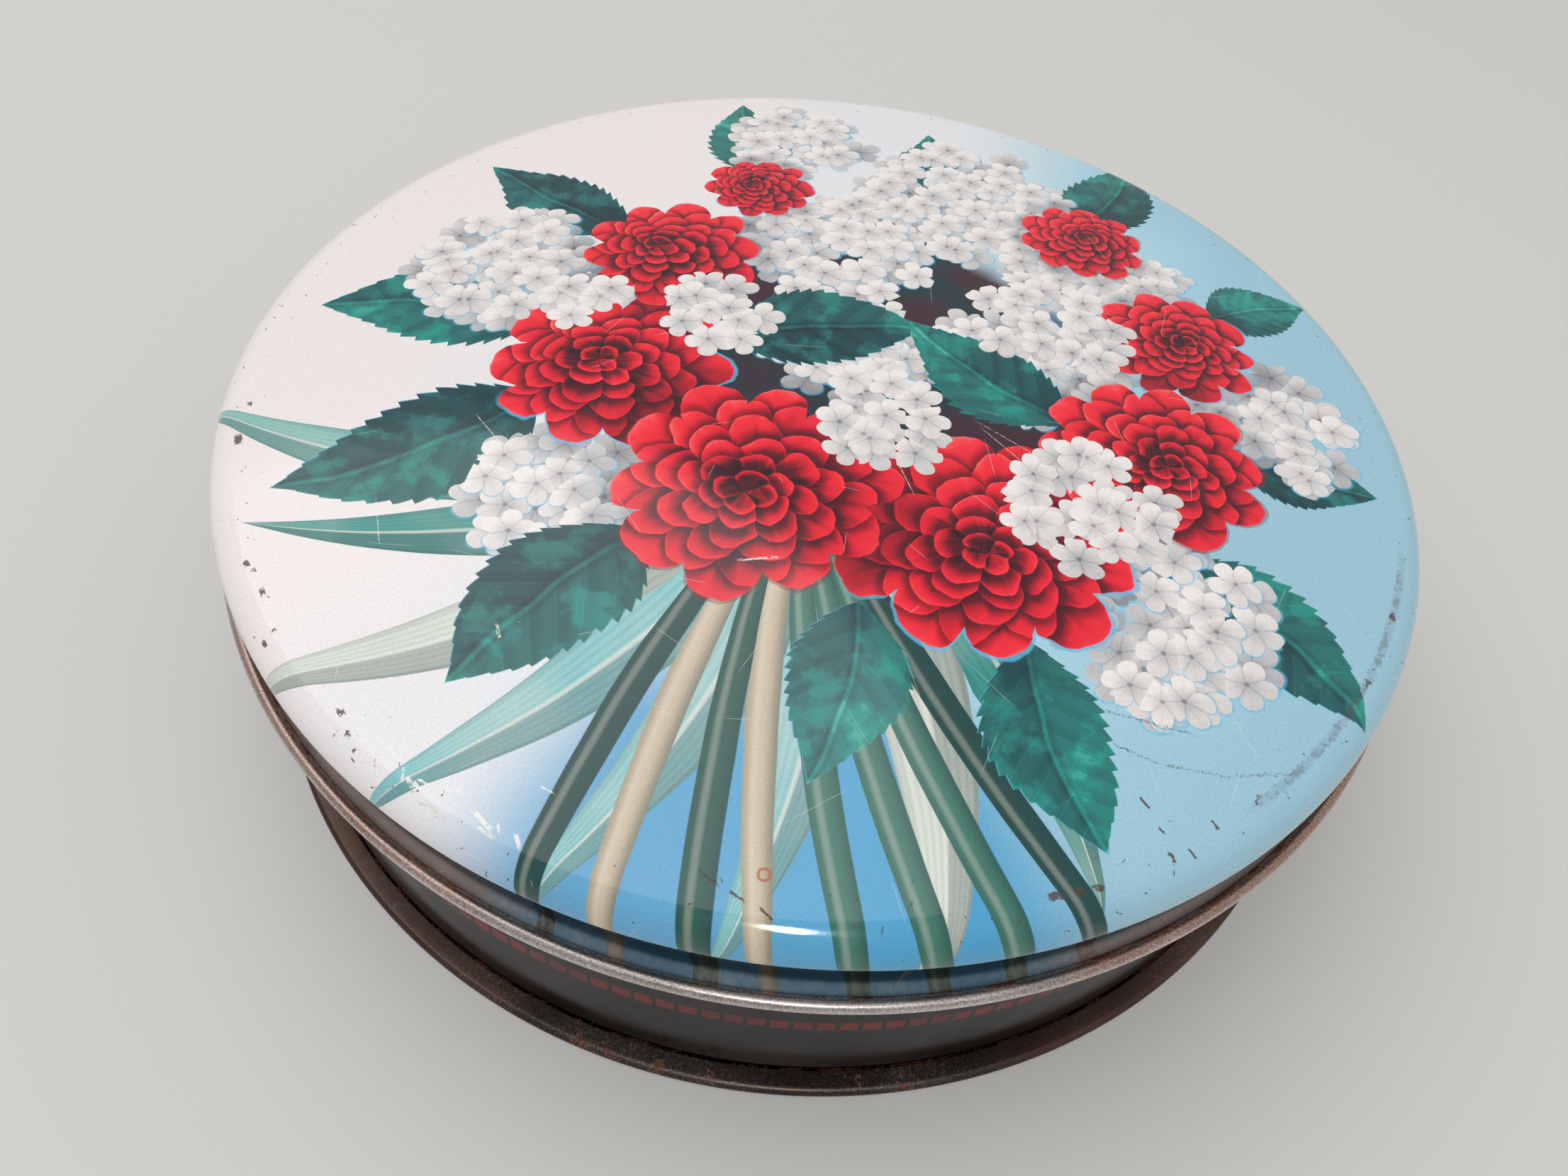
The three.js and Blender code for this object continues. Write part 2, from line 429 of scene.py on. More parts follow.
# Scratches: one short straight tick in some of the squares of a flat sheet. Three chances of each
# square set which way its tick points, how long it is, and whether it is there.
(place, spacing, reach, width, share), end = effect(
    "scratches", ("Place", "Spacing", "Length", "Width", "Share"), ("Cover",)
)
scaled = place * reckon("DIVIDE", 1.0, spacing)
corner = reckon("FLOOR", scaled)
square_numbering = (17.0, 131.0, 0.0)
square = dot(corner, square_numbering)
first, second, third = [chance_of(square, kind) for kind in (12.9898, 78.233, 37.719)]
from_middle = (scaled - corner - (0.5, 0.5, 0.0)) * spacing
turned = first * math.tau
ahead_x, ahead_y = reckon("COSINE", turned), reckon("SINE", turned)
lengthwise = abs(dot(from_middle, joined(ahead_x, ahead_y)))
across = abs(dot(from_middle, joined(ahead_y, ahead_x * -1.0)))
thin = step(across, width, width * 0.4)
ends = step(lengthwise, reach * second * 0.5, reach * second * 0.2)
scratches = close(end, thin * ends * reckon("LESS_THAN", third, share))


def bare_tin(name, tones, rust_amount, extra_rust=None, rubbed_and_highlit=None, rolled=None):
    """Bare tinned sheet: grey metal with the fine grain of rolling, cloudy tarnish and rust freckles.
    It is a pressed disc, or a wall rolled to a radius. Extra rust goes from one line to another,
    in millimetres along, up to so much more. Rubbed and highlit says what handling has done and
    where a line is painted bright: from which line, brightest on which (partly rubbed metal and
    partly a painted highlight), in what tones, and how brown the stain past it is on the rusty sides."""
    material, shader, place, along = coated(name)
    clouds = noise(place, 14.0, detail=3)
    grain = noise(place * (0.12, 1.0, 1.0), 0.35, detail=3)
    unevenness = 0.06
    amount = step(clouds, 0.35, 0.7, rust_amount - unevenness, rust_amount + unevenness)
    if extra_rust:
        rust_from, rust_to, rust_more = extra_rust
        amount = amount + step(along, rust_from, rust_to, 0.0, rust_more)
    rusted, rust_colour = place_effect(rust, place, amount)
    metal = tinted(clouds * 0.7 + grain * 0.3, tones)
    if rubbed_and_highlit:
        rubbed_from, brightest_at, rubbed_tones, stain = rubbed_and_highlit
        stain_from, stain_to = brightest_at + 0.9, brightest_at + 1.5
        handled = step(along, rubbed_from, rubbed_from + 0.8)
        speckle = noise(place * (1.0, 1.0, 0.5), 0.22, detail=3, roughness=0.6)
        # The brightest line, round the outermost bend: partly rubbed bare metal, partly a painted
        # highlight
        rubbed_and_highlit_line = step(abs(along - brightest_at), 0.9, 0.1, 0.0, 0.3)
        metal = blend(handled, metal, tinted(speckle * 0.7 + clouds * 0.3 + rubbed_and_highlit_line, rubbed_tones))
        stained = rusty_sides(place) * step(along + speckle, stain_from, stain_to, 0.1, stain)
        stained = stained * step(speckle, 0.58, 0.42, 0.3, 1.0)
        metal = blend(handled * stained, metal, paint(178, 118, 92))
        grain = blend(handled, grain, speckle)
    on_sheet = unrolled(place, along, rolled / millimetre) if rolled else spread_flat(place, along)
    (ticks,) = place_effect(scratches, on_sheet, 5.0, 4.4, 0.05, 0.5)
    dress(
        shader,
        Base_Color=blend(rusted, metal, rust_colour),
        Metallic=1.0 - rusted * 0.85,
        Roughness=step(grain * 0.5 + clouds * 0.5, 0.3, 0.7, 0.3, 0.42) + rusted * 0.35 + ticks * 0.1,
        Normal=bump(grain * 0.3 + rusted * 0.7 - ticks * 0.6, 0.02),
    )
    return material


# The outside of the wall
dash_height = 15.7  # middle of the row, in millimetres off the table
dash_tall = 2.1
dash_long = 1.9
dash_pitch = 2.4
dash_count = round(math.tau * wall_radius / (dash_pitch * millimetre))

enamel, shader, place, along = coated("dark_enamel")
x, y, z = split(place)
turns = reckon("ARCTAN2", y, x) * (dash_count / math.tau)
sideways = abs(reckon("FRACT", turns) - 0.5) * dash_pitch
upward = abs(z - dash_height)
uneven = noise(place, 0.5, detail=3)
inked = step(sideways + uneven * 0.25, dash_long / 2 + 0.16, dash_long / 2 + 0.08)
inked = inked * step(upward + uneven * 0.25, dash_tall / 2 + 0.18, dash_tall / 2 + 0.1)
depth_of_ink = noise(place, 9.0, detail=2)
red_dash = tinted(depth_of_ink, [(0.3, 64, 10, 12), (0.7, 118, 20, 21)])
ground = tinted(noise(place, 6.0, detail=4), [(0.3, 9, 6, 6), (0.7, 17, 10, 10)])
on_wall = unrolled(place, along, wall_radius / millimetre)
(ticks,) = place_effect(scratches, on_wall, 5.0, 4.6, 0.06, 0.3)
foot = step(z + uneven * 0.8, 2.6, 1.4)
rusted, rust_colour = place_effect(rust, place, foot * 0.3 + 0.16)
colour = blend(inked, ground, red_dash)
colour = blend(ticks * 0.5, colour, paint(92, 84, 78))
colour = blend(rusted, colour, rust_colour)
dress(
    shader,
    Base_Color=colour,
    Roughness=step(depth_of_ink, 0.3, 0.7, 0.2, 0.3) + rusted * 0.5 + ticks * 0.2,
    Specular_IOR_Level=0.3,
    Normal=bump(uneven * 0.2 + inked * 0.25 - ticks * 0.5 + rusted * 0.4, 0.02),
)

tin_tones = [(0.3, 176, 171, 160), (0.55, 206, 203, 194), (0.75, 224, 222, 216)]
inside_tin = bare_tin("inside_tin", tin_tones, 0.2, rolled=wall_radius)

line = SheetLine(flange_edge, flange_height + sheet / 2)
line.run(wall_radius + flange_bend - sheet / 2 - flange_edge, 0)
bend_centre = (wall_radius - sheet / 2 + flange_bend, flange_height + flange_bend)
line.bend(*bend_centre, -90, 4)
rim_centre = (wall_radius - rim_curl_radius, wall_height - rim_curl_radius)
line.run(0, rim_centre[1] - bend_centre[1])
line.bend(*rim_centre, rim_curl_degrees, 14)
wall_mesh = line.spin(True)

# The lock seam: its fold shows outside as a fine pressed line beside its edge, and its four
# layers stand inward as a pad between the rim and the flange.
def faces_at_back(mesh, half_width):
    """The wall's faces that lie at the back, within that much of the seam's middle."""
    middles = [(face, face.calc_center_median()) for face in mesh.faces]
    return [face for face, middle in middles if middle.y > 0 and abs(middle.x) < half_width]


def cut_at_back(mesh, point, direction):
    """Cuts the wall across a plane, only round the seam at the back."""
    near = faces_at_back(mesh, 2 * seam_half_width)
    parts = near + list({edge for face in near for edge in face.edges})
    parts += list({vert for face in near for vert in face.verts})
    bmesh.ops.bisect_plane(mesh, geom=parts, dist=merge_distance, plane_co=point, plane_no=direction)


for offset in (-seam_line_half_width, 0, seam_line_half_width):
    cut_at_back(wall_mesh, (seam_half_width + offset, 0, 0), (1, 0, 0))
for point in wall_mesh.verts:
    in_wall = point.co.y > 0 and bend_centre[1] - sheet < point.co.z < rim_centre[1] + sheet
    if in_wall and abs(point.co.x - seam_half_width) < seam_line_half_width / 2:
        point.co.y -= seam_line_depth
thickened(wall_mesh)
pad_half_width = seam_half_width - 2 * seam_line_half_width
for side in (-pad_half_width, pad_half_width):
    cut_at_back(wall_mesh, (side, 0, 0), (1, 0, 0))
for height in (seam_low, seam_high):
    cut_at_back(wall_mesh, (0, 0, height), (0, 0, 1))
pad = [
    face for face in faces_at_back(wall_mesh, pad_half_width)
    if face.material_index == 1 and face.normal.y < -0.9
    and seam_low < face.calc_center_median().z < seam_high
]
raised = bmesh.ops.extrude_face_region(wall_mesh, geom=pad)["geom"]
raised_points = [part for part in raised if isinstance(part, bmesh.types.BMVert)]
bmesh.ops.translate(wall_mesh, verts=raised_points, vec=(0, -seam_depth, 0))
bmesh.ops.delete(wall_mesh, geom=pad, context="FACES")
piece("rolled_wall", wall_mesh, "body_wall", "tin_body", "dark_enamel", enamel, inside_tin)


# Bottom end: one disc of bare tinned sheet, its panel pressed up off the table. Its edge runs out
# under the body's flange and is folded up and back over it, which makes the foot rim.
panel_height = 0.0012
panel_wall_radius = 0.0711  # middle of the sheet
panel_bend = 0.0004  # middle of the sheet
hem_centre_radius = 0.07385
hem_radius = 0.00075  # outside
hem_lap_radius = 0.07215  # where the hem's edge ends, over the flange

rim_rust = (70.5, 73.5, 0.1)  # round the foot rim
bottom_tones = [(0.3, 160, 153, 143), (0.55, 196, 192, 184), (0.75, 216, 213, 206)]
hem_tones = [(0.3, 44, 36, 32), (0.55, 78, 70, 64), (0.85, 150, 144, 138)]
# Where the hem is rubbed, its brightest line, which is partly a painted highlight, and its stain
hem_rubbed_from, hem_brightest_at, hem_stain = 72.0, 75.2, 0.15
hem_rubbed_and_highlit = (hem_rubbed_from, hem_brightest_at, hem_tones, hem_stain)
bottom_tin = bare_tin("bottom_tin", bottom_tones, 0.24, rim_rust, hem_rubbed_and_highlit)

panel_corner = (panel_wall_radius - panel_bend, panel_height + sheet / 2 - panel_bend)
foot_corner = (panel_wall_radius + panel_bend, panel_bend + sheet / 2)
line = SheetLine(0, panel_height)
line.run(panel_corner[0], 0, 6)
line.bend(*panel_corner, -90, 5)
line.run(0, foot_corner[1] - panel_corner[1])
line.bend(*foot_corner, 90, 5)
line.run(hem_centre_radius - foot_corner[0], 0)
line.bend(hem_centre_radius, hem_radius, 180, 12)
line.run(hem_lap_radius - hem_centre_radius, 0)
bottom_mesh = line.spin(False)
thickened(bottom_mesh)
piece("hemmed_bottom", bottom_mesh, "bottom_end", "tin_body", "bare_tin", bottom_tin, bottom_tin)


# Lid: one drawn disc of tinned sheet, printed and varnished outside. A shallow dome turns over a
# round shoulder into the neck that grips the body, then flares out to a foot whose edge is curled
# up and round on itself, so that the curl shows the bare inside of the sheet.
crown_height = 0.0421
dome_rise = 0.002  # crown over the top of the shoulder
shoulder_radius = 0.00362  # outside
lid_clearance = 0.0003  # lid's neck round the body wall
shoulder_bulge = 0.0013  # how far the shoulder stands out of the neck
tuck_bend = 0.0014  # under the shoulder, middle of the sheet
neck_bend = 0.0011  # from the tuck into the neck, middle of the sheet
skirt_drop = 0.0077  # from the shoulder's widest ring down to the middle of the curl
foot_bend = 0.0014  # middle of the sheet
foot_flare_degrees = 45
curl_radius = 0.00077  # outside
edge_reach = 0.00255  # how far the curled edge stands out of the neck
raw_edge_degrees = 157  # where the raw edge stops, round the curl from straight out

neck_radius = wall_radius + lid_clearance + sheet / 2  # middle of the sheet
widest_radius = neck_radius + shoulder_bulge
shoulder_centre = (
    widest_radius + sheet / 2 - shoulder_radius,
    crown_height - dome_rise - shoulder_radius,
)
to_shoulder = (shoulder_centre[0] ** 2 + dome_rise ** 2) / (2 * dome_rise)
dome_radius = to_shoulder + shoulder_radius
dome_degrees = math.degrees(math.asin(shoulder_centre[0] / to_shoulder))
tuck_degrees = math.degrees(math.acos(1 - shoulder_bulge / (tuck_bend + neck_bend)))
neck_drop = (tuck_bend + neck_bend) * math.sin(math.radians(tuck_degrees))
neck_centre = (neck_radius + neck_bend, shoulder_centre[1] - neck_drop)
curl_centre = (neck_radius + sheet / 2 + edge_reach - curl_radius, shoulder_centre[1] - skirt_drop)
foot_slope = math.radians(foot_flare_degrees)
curl_start_out = curl_centre[0] - (curl_radius - sheet / 2) * math.cos(foot_slope)
curl_start_up = curl_centre[1] - (curl_radius - sheet / 2) * math.sin(foot_slope)
foot_corner_up = curl_start_up + (curl_start_out - neck_radius) / math.tan(foot_slope)
corner_to_bend = foot_bend * math.tan(foot_slope / 2)
foot_run = (curl_start_out - neck_radius) / math.sin(foot_slope) - corner_to_bend

line = SheetLine(0, crown_height)
line.bend(0, crown_height - dome_radius, -dome_degrees, 30)
line.bend(*shoulder_centre, dome_degrees - 90, 16)
line.bend(widest_radius - tuck_bend, shoulder_centre[1], -tuck_degrees, 8)
line.bend(*neck_centre, tuck_degrees, 6)
line.run(0, foot_corner_up + corner_to_bend - neck_centre[1], 3)
line.bend(neck_radius + foot_bend, foot_corner_up + corner_to_bend, foot_flare_degrees, 5)
line.run(foot_run * math.sin(foot_slope), -foot_run * math.cos(foot_slope), 4)
line.bend(*curl_centre, 180 - foot_flare_degrees + raw_edge_degrees, 26)
lid_mesh = line.spin(True)
thickened(lid_mesh)


# The print: a garland of scarlet dahlias, with leaves and sprays of small white blossoms, on a
# ground that runs from warm white to sky blue. Places in the print are millimetres from the
# crown along the sheet, so that it runs on over the shoulder.
light_from = (-0.6, 0.8, 0.0)  # in the picture that is printed


def length(place):
    """How far a place is from the middle."""
    return reckon("LENGTH", place, output="Value")


def wavered(place, moved, size, detail, far_off, reach):
    """A place shifted to and fro by soft clouds. They are read at a moved place and far off it."""
    first = noise(moved, size, detail=detail, flat=True)
    second = noise(moved + (far_off, 0.0, 0.0), size, detail=detail, flat=True)
    return place + (joined(first, second) - (0.5, 0.5, 0.0)) * reach


# A dahlia of radius 1: rings of petals, the inner ones over the outer. A petal is dark low down and
# on one side, light along its edge, and creased along its middle.
(place, turn, lean), end = effect("dahlia", ("Place", "Turn", "Lean"), ("Tone", "Cover", "Fringe"))
ring_shares = (1.0, 0.84, 0.67, 0.51, 0.35, 0.2)  # outer radius of each ring
ring_petals = (10, 10, 9, 8, 6, 4)
wavy = wavered(place, place + joined(turn, turn), 0.4, 3, 9.0, 0.13)
outward = reckon("NORMALIZE", place)
grain = noise(outward * 6.0 + joined(0.0, 0.0, length(place) * 1.2), 1.0, detail=4)
for ring, (share, petals) in enumerate(zip(ring_shares, ring_petals)):
    from_middle = reckon("MULTIPLY_ADD", lean, (share - 1.0,) * 3, wavy)
    x, y, _ = split(from_middle)
    out = length(from_middle)
    turns = reckon("ARCTAN2", y, x) * (petals / math.tau) + turn + ring * 0.5
    turns = reckon("FLOORED_MODULO", turns, float(petals))
    number = reckon("FLOOR", turns)
    across = turns - number - 0.5
    chance = chance_of(number + turn + ring * 17.0)
    aside = abs(across) * 2.0
    tip = (1.0 - reckon("POWER", aside, 2.4) * 0.2 - chance * 0.09) * share
    inside = tip - out
    cover = step(inside, 0.0, 0.012)
    lit = dot(from_middle, light_from) / out
    petal = step(inside, 0.34 * share, 0.0, 0.3 - ring * 0.025, 0.66 - ring * 0.03)
    petal = petal - step(across, -0.12, -0.5, 0.0, 0.34) + step(across, 0.2, 0.5, 0.0, 0.08)
    petal = petal - step(aside, 0.14, 0.0) * step(inside, 0.03, 0.14, 0.0, 0.07)
    petal = petal + lit * (0.1 if ring < 4 else -0.1) + (chance - 0.5) * 0.12 + (grain - 0.5) * 0.5
    petal = petal + step(inside, 0.035, 0.008, 0.0, 0.12)
    if ring:
        shade = step(inside, -0.12, 0.0)
        tone = blend(cover, tone * (1.0 - shade * 0.6), petal)
    else:
        tone = petal
        outer_cover = cover
        outer_fringe = step(inside, -0.03, -0.015) * step(dot(place, light_from), 0.2, -0.2)
dahlia = close(end, tone, outer_cover, outer_fringe)

dahlia_reds = [
    (0.0, 50, 8, 22), (0.14, 104, 12, 32), (0.3, 184, 18, 40),
    (0.46, 232, 28, 50), (0.7, 252, 46, 62), (1.0, 255, 118, 118),
]

# A curved and toothed leaf of length 1. Inside is how far a place lies in from the leaf's edge.
(lengthwise, sideways, width, curve), end = effect(
    "leaf_outline", ("Lengthwise", "Sideways", "Width", "Curve"), ("Along", "Across", "Inside")
)
teeth_count, teeth_depth = 15.0, 0.03
within = reckon("MAXIMUM", reckon("MINIMUM", lengthwise, 1.0), 0.0)
across = sideways - within * (1.0 - within) * curve
swell = reckon("SINE", reckon("POWER", within, 0.8) * math.pi)
teeth = reckon("FRACT", within * teeth_count) * teeth_depth
inside = swell * (width + teeth) - abs(across)
leaf_outline = close(end, lengthwise, across, inside)

leaf_greens = [
    (0.0, 12, 38, 44), (0.25, 22, 74, 78), (0.5, 38, 116, 112),
    (0.72, 33, 150, 136), (0.9, 92, 188, 170), (1.0, 170, 220, 202),
]

# A leaf's face: middle rib, side veins, one darker half, a lighter tip and edge, emerald patches
(place, along, across, inside, mood), end = effect(
    "leaf_face", ("Place", "Along", "Across", "Inside", "Mood"), ("Tone",)
)
aside = abs(across)
side_veins = reckon("FRACT", (along - aside * 0.9) * 7.0)
mottling = noise(place, 6.0, detail=4, roughness=0.6, flat=True)
emerald = step(mottling, 0.46, 0.64, 0.0, 0.24)
tone = mood + reckon("SINE", side_veins * math.tau) * 0.04
tone = tone + step(abs(side_veins - 0.5), 0.45, 0.5, 0.0, 0.09)
tone = tone + step(aside, 0.016, 0.004, 0.0, 0.24) - step(aside, 0.05, 0.015, 0.0, 0.1)
tone = tone + step(across, -0.02, 0.02, -0.06, 0.08) + step(along, 0.4, 1.0, 0.0, 0.1)
tone = tone + step(inside, 0.015, 0.0, 0.0, 0.08) + emerald
leaf_face = close(end, tone)

# A blossom of radius 1: white petals round a dark eye
(place, turn), end = effect("blossom", ("Place", "Turn"), ("Tone", "Cover", "Fringe"))
blossom_petals = 5
x, y, _ = split(place)
out = length(place)
one_side = reckon("FRACT", reckon("ARCTAN2", y, x) * (blossom_petals / math.tau) + turn) - 0.5
aside = abs(one_side) * 2.0
tip = 1.0 - reckon("POWER", aside, 2.6) * 0.4
cover = step(tip - out, 0.0, 0.04)
tone = step(out, 0.05, 0.75, 0.62, 0.92) - step(one_side, -0.25, -0.5, 0.0, 0.2)
tone = tone + dot(place, light_from) * 0.2 - step(aside, 0.2, 0.0, 0.0, 0.05)
tone = tone - step(out, 0.14, 0.05, 0.0, 0.26) + step(tip - out, 0.1, 0.02, 0.0, 0.08)
fringe = step(tip - out, -0.1, -0.04) * step(dot(place, light_from), 0.2, -0.2)
blossom = close(end, tone, cover, fringe)

blossom_whites = [
    (0.0, 74, 66, 70), (0.25, 132, 130, 136), (0.5, 186, 186, 188),
    (0.75, 222, 217, 214), (1.0, 244, 238, 234),
]

# Dahlias, as middle and radius, each with its turn and which way it leans. Those of the second
# list lie over those of the first.
back_dahlias = [
    (-27, -4, 15.5, 0.3, (-0.12, 0.06)), (19, -25, 17.5, 2.7, (0.05, -0.16)),
    (45, 15, 11.5, 1.6, (0.16, 0.04)), (-14, 40, 8.5, 4.2, (-0.1, 0.14)),
]
front_dahlias = [
    (-24, 21, 13, 5.1, (-0.14, 0.08)), (-7, -21, 17.5, 1.2, (-0.06, -0.12)),
    (40, -8, 14.5, 3.4, (0.14, -0.06)), (34, 37, 9.5, 2.2, (0.1, 0.14)),
]
# Leaves, as foot, direction in degrees and length, with half width and curve as shares of it
back_leaves = [
    (-30, 25, 150, 27, 0.24, 0.2), (-36, 4, 184, 30, 0.26, -0.25), (-34, -10, 218, 33, 0.25, 0.3),
    (24, -38, 288, 24, 0.26, -0.3), (40, -24, 316, 27, 0.24, 0.3),
    (50, -4, 346, 18, 0.3, -0.2), (50, 22, 24, 17, 0.3, 0.2), (32, 40, 62, 26, 0.24, -0.25),
    (-12, 42, 108, 25, 0.25, 0.25), (8, 36, 84, 27, 0.25, -0.2),
]
front_leaves = [
    (-14, 4, 14, 27, 0.27, 0.25), (30, -4, 142, 26, 0.26, 0.25), (-18, -30, 236, 27, 0.28, -0.2),
    (6, -36, 262, 22, 0.27, 0.2),
]
# Heaps of white blossom, as middle and radius, under the dahlias and over them
back_heaps = [
    (-2, 28, 13), (17, 44, 15), (36, 24, 13), (26, 8, 12), (2, 4, 10), (56, 2, 10),
    (-44, 14, 12), (38, -32, 12), (-28, -26, 9), (-10, 54, 10),
]
front_heaps = [(7, -7, 8), (31, -17, 9), (-37, 10, 7), (28, 16, 9), (-16, 9, 7)]
flower_reach = 1.1  # times a dahlia's radius, with its fringe
blossom_share = 0.66  # a blossom's radius, of how far apart blossoms are


def nearest_of(place, flowers):
    """Puts one flower pattern wherever one of the flowers lies. Gives its tone, its cover, its
    fringe, and how near the place is to a flower's rim."""
    local, turn, lean, near = None, 0.0, (0.0, 0.0, 0.0), 0.0
    for x, y, radius, its_turn, its_lean in flowers:
        here = (place - (x, y, 0.0)) * (1 / radius)
        out = length(here)
        at_it = reckon("LESS_THAN", out, flower_reach)
        local = blend(at_it, local, here) if local else here
        turn = blend(at_it, turn, its_turn)
        lean = blend(at_it, lean, (*its_lean, 0.0))
        near = reckon("MAXIMUM", near, step(out, 1.25, 0.95))
    tone, cover, fringe = place_effect(dahlia, local, turn, lean)
    at_it = reckon("LESS_THAN", length(local), flower_reach)
    return tone, cover * at_it, fringe * at_it, near


def top_leaf(place, leaves):
    """Finds the uppermost leaf at a place. Gives its tone, its cover and its fringe."""
    darkest, mood_range, golden_share = 0.22, 0.22, 0.618  # each leaf has its own mood
    along, across, inside, mood = 0.0, 0.0, -1.0, 0.0
    for number, (x, y, direction, leaf_length, width, curve) in enumerate(leaves):
        turned = math.radians(direction)
        ahead = Vector((math.cos(turned), math.sin(turned), 0)) / leaf_length
        from_foot = place - (x, y, 0.0)
        lengthwise, sideways = dot(from_foot, tuple(ahead)), dot(from_foot, (-ahead.y, ahead.x, 0.0))
        on_leaf = place_effect(leaf_outline, lengthwise, sideways, width, curve)
        its_along, its_across, its_inside = on_leaf
        at_it = reckon("GREATER_THAN", its_inside, 0.0)
        along = blend(at_it, along, its_along)
        across = blend(at_it, across, its_across)
        inside = blend(at_it, inside, its_inside)
        mood = blend(at_it, mood, darkest + mood_range * (number * golden_share % 1))
    (tone,) = place_effect(leaf_face, place, along, across, inside, mood)
    return tone, step(inside, 0.0, 0.006), step(inside, -0.014, -0.006) * step(across, 0.05, -0.05)


def heaped(place, heaps):
    """1 where a place lies in one of the heaps."""
    most = 0.0
    for x, y, radius in heaps:
        away = reckon("DISTANCE", place, (x, y, 0.0), output="Value") * (1 / radius)
        most = reckon("MAXIMUM", most, 1.0 - away) if most else 1.0 - away
    return reckon("GREATER_THAN", most, 0.0)


def scattered(place, size, rank):
    """The nearest (F1) or next (F2) of some scattered points about that far apart, and a random
    colour for it."""
    values = {"Vector": place, "Scale": 1 / size}
    settings = {"voronoi_dimensions": "2D", "feature": rank}
    made = lay(tree_of(place), "ShaderNodeTexVoronoi", values, "Position", **settings)
    return made, Wire(made.socket.node.outputs["Color"])


def sprinkled(place, size, offset, heaps):
    """Blossoms scattered over the heaps, about that far apart. Where the nearest is off the heaps,
    the next may still reach there. Gives their tone, cover and fringe."""
    moved = place + (offset, offset, 0.0)
    next_middle, next_chance = scattered(moved, size, "F2")
    its_middle, its_chance = scattered(moved, size, "F1")
    in_heap = heaped(its_middle - (offset, offset, 0.0), heaps)
    its_middle = blend(in_heap, next_middle, its_middle)
    its_chance = blend(in_heap, next_chance, its_chance)
    in_heap = heaped(its_middle - (offset, offset, 0.0), heaps)
    turn, mood, _ = split(its_chance)
    on_blossom = (moved - its_middle) * (1 / (size * blossom_share))
    tone, cover, fringe = place_effect(blossom, on_blossom, turn)
    return tone + (mood - 0.5) * 0.14, cover * in_heap, fringe * in_heap


(place,), end = effect("garland", ("Place",), ("Colour",))
straight = place
place = wavered(place, place, 12.0, 1, 90.0, 1.8)
x, y, _ = split(place)

clouds = noise(place, 30.0, detail=3, flat=True)
sky = step(x * 0.9 - y * 0.25 + clouds * 40.0, -25.0, 75.0)
colour = tinted(sky, [
    (0.0, 242, 234, 233), (0.3, 231, 233, 236), (0.55, 203, 223, 231),
    (0.8, 172, 213, 229), (1.0, 158, 200, 217),
])

# Long blades and stems that fan out and fall over the front of the shoulder, on a deeper blue
fan_foot = (-2.0, -16.0, 0.0)
from_foot = place * 0.12 + straight * 0.88 - fan_foot
fx, fy, _ = split(from_foot)
out = length(from_foot)
aim = reckon("ARCTAN2", fx, 0.0 - fy)
deep = step(abs(aim - 0.05), 0.6, 0.34) * step(out, 24.0, 40.0)
colour = blend(deep * 0.85, colour, paint(48, 156, 206))
broad_colours = [
    (0.0, 112, 186, 178), (0.22, 214, 220, 210), (0.45, 84, 172, 164),
    (0.7, 140, 200, 202), (0.88, 60, 150, 142),
]
slim_colours = [
    (0.0, 42, 92, 80), (0.3, 66, 122, 106), (0.55, 34, 74, 70),
    (0.85, 206, 190, 164),
]
blade_shade, blade_light = paint(18, 66, 70), paint(232, 233, 222)
# How many blades to a radian, their twist, length and half width, how far the row is shifted,
# their colours, how many radians they spread to, and whether they are folded or round
for per_radian, twist, reach, widest, spread, tones, reaches_to, folded in (
    (3.3, 0.006, 74.0, 5.2, 0.3, broad_colours, 1.25, True),
    (8.0, -0.002, 112.0, 1.75, 0.0, slim_colours, 0.5, False),
):
    fanned = (aim + out * twist) * per_radian + spread
    number = reckon("FLOOR", fanned)
    chance = chance_of(number + (3.7 + spread))
    across = (fanned - number - 0.5 + (chance - 0.5) * 0.24) * out * (1 / per_radian)
    far = reckon("MINIMUM", out * (1 / reach) + chance * 0.16, 1.0)
    half = reckon("SINE", reckon("POWER", far, 0.8) * math.pi) * widest
    inside = half - abs(across)
    whole = reckon("LESS_THAN", abs(number + (0.5 - spread)), reaches_to * per_radian)
    blade = tinted(chance, tones)
    blade.socket.node.color_ramp.interpolation = "CONSTANT"
    round_side = across / half
    if folded:
        blade = blend(step(reckon("SINE", round_side * 30.0), -0.5, 1.0) * 0.16, blade, blade_shade)
        blade = blend(step(clouds, 0.38, 0.62) * 0.25, blade, blade_light)
        blade = blend(step(round_side, -0.04, 0.04, 0.0, 0.4), blade, blade_shade)
        blade = blend(step(abs(round_side), 0.1, 0.03) * 0.6, blade, blade_light)
        blade = blend(step(abs(round_side), 0.7, 1.0) * 0.3, blade, blade_shade)
    else:
        blade = blend(step(round_side, 0.0, 1.0) * 0.6, blade, blade_shade)
        blade = blend(step(round_side, -0.3, -1.0) * 0.35, blade, blade_shade)
        blade = blend(step(abs(round_side + 0.3), 0.35, 0.05) * 0.2, blade, blade_light)
    colour = blend(step(inside, 0.0, 0.15) * whole, colour, blade)

back_tone, back_cover, back_fringe, back_near = nearest_of(place, back_dahlias)
front_tone, front_cover, front_fringe, front_near = nearest_of(place, front_dahlias)
near = reckon("MAXIMUM", back_near, front_near)
shade = 1.0 - near * 0.4

# The inks are printed a little apart, so that a fringe of blue shows beside each shape
fringe_blue = paint(96, 188, 230)
tone, cover, fringe = top_leaf(place, back_leaves)
colour = blend(fringe * 0.8, colour, fringe_blue)
colour = blend(cover, colour, tinted(tone * shade, leaf_greens))

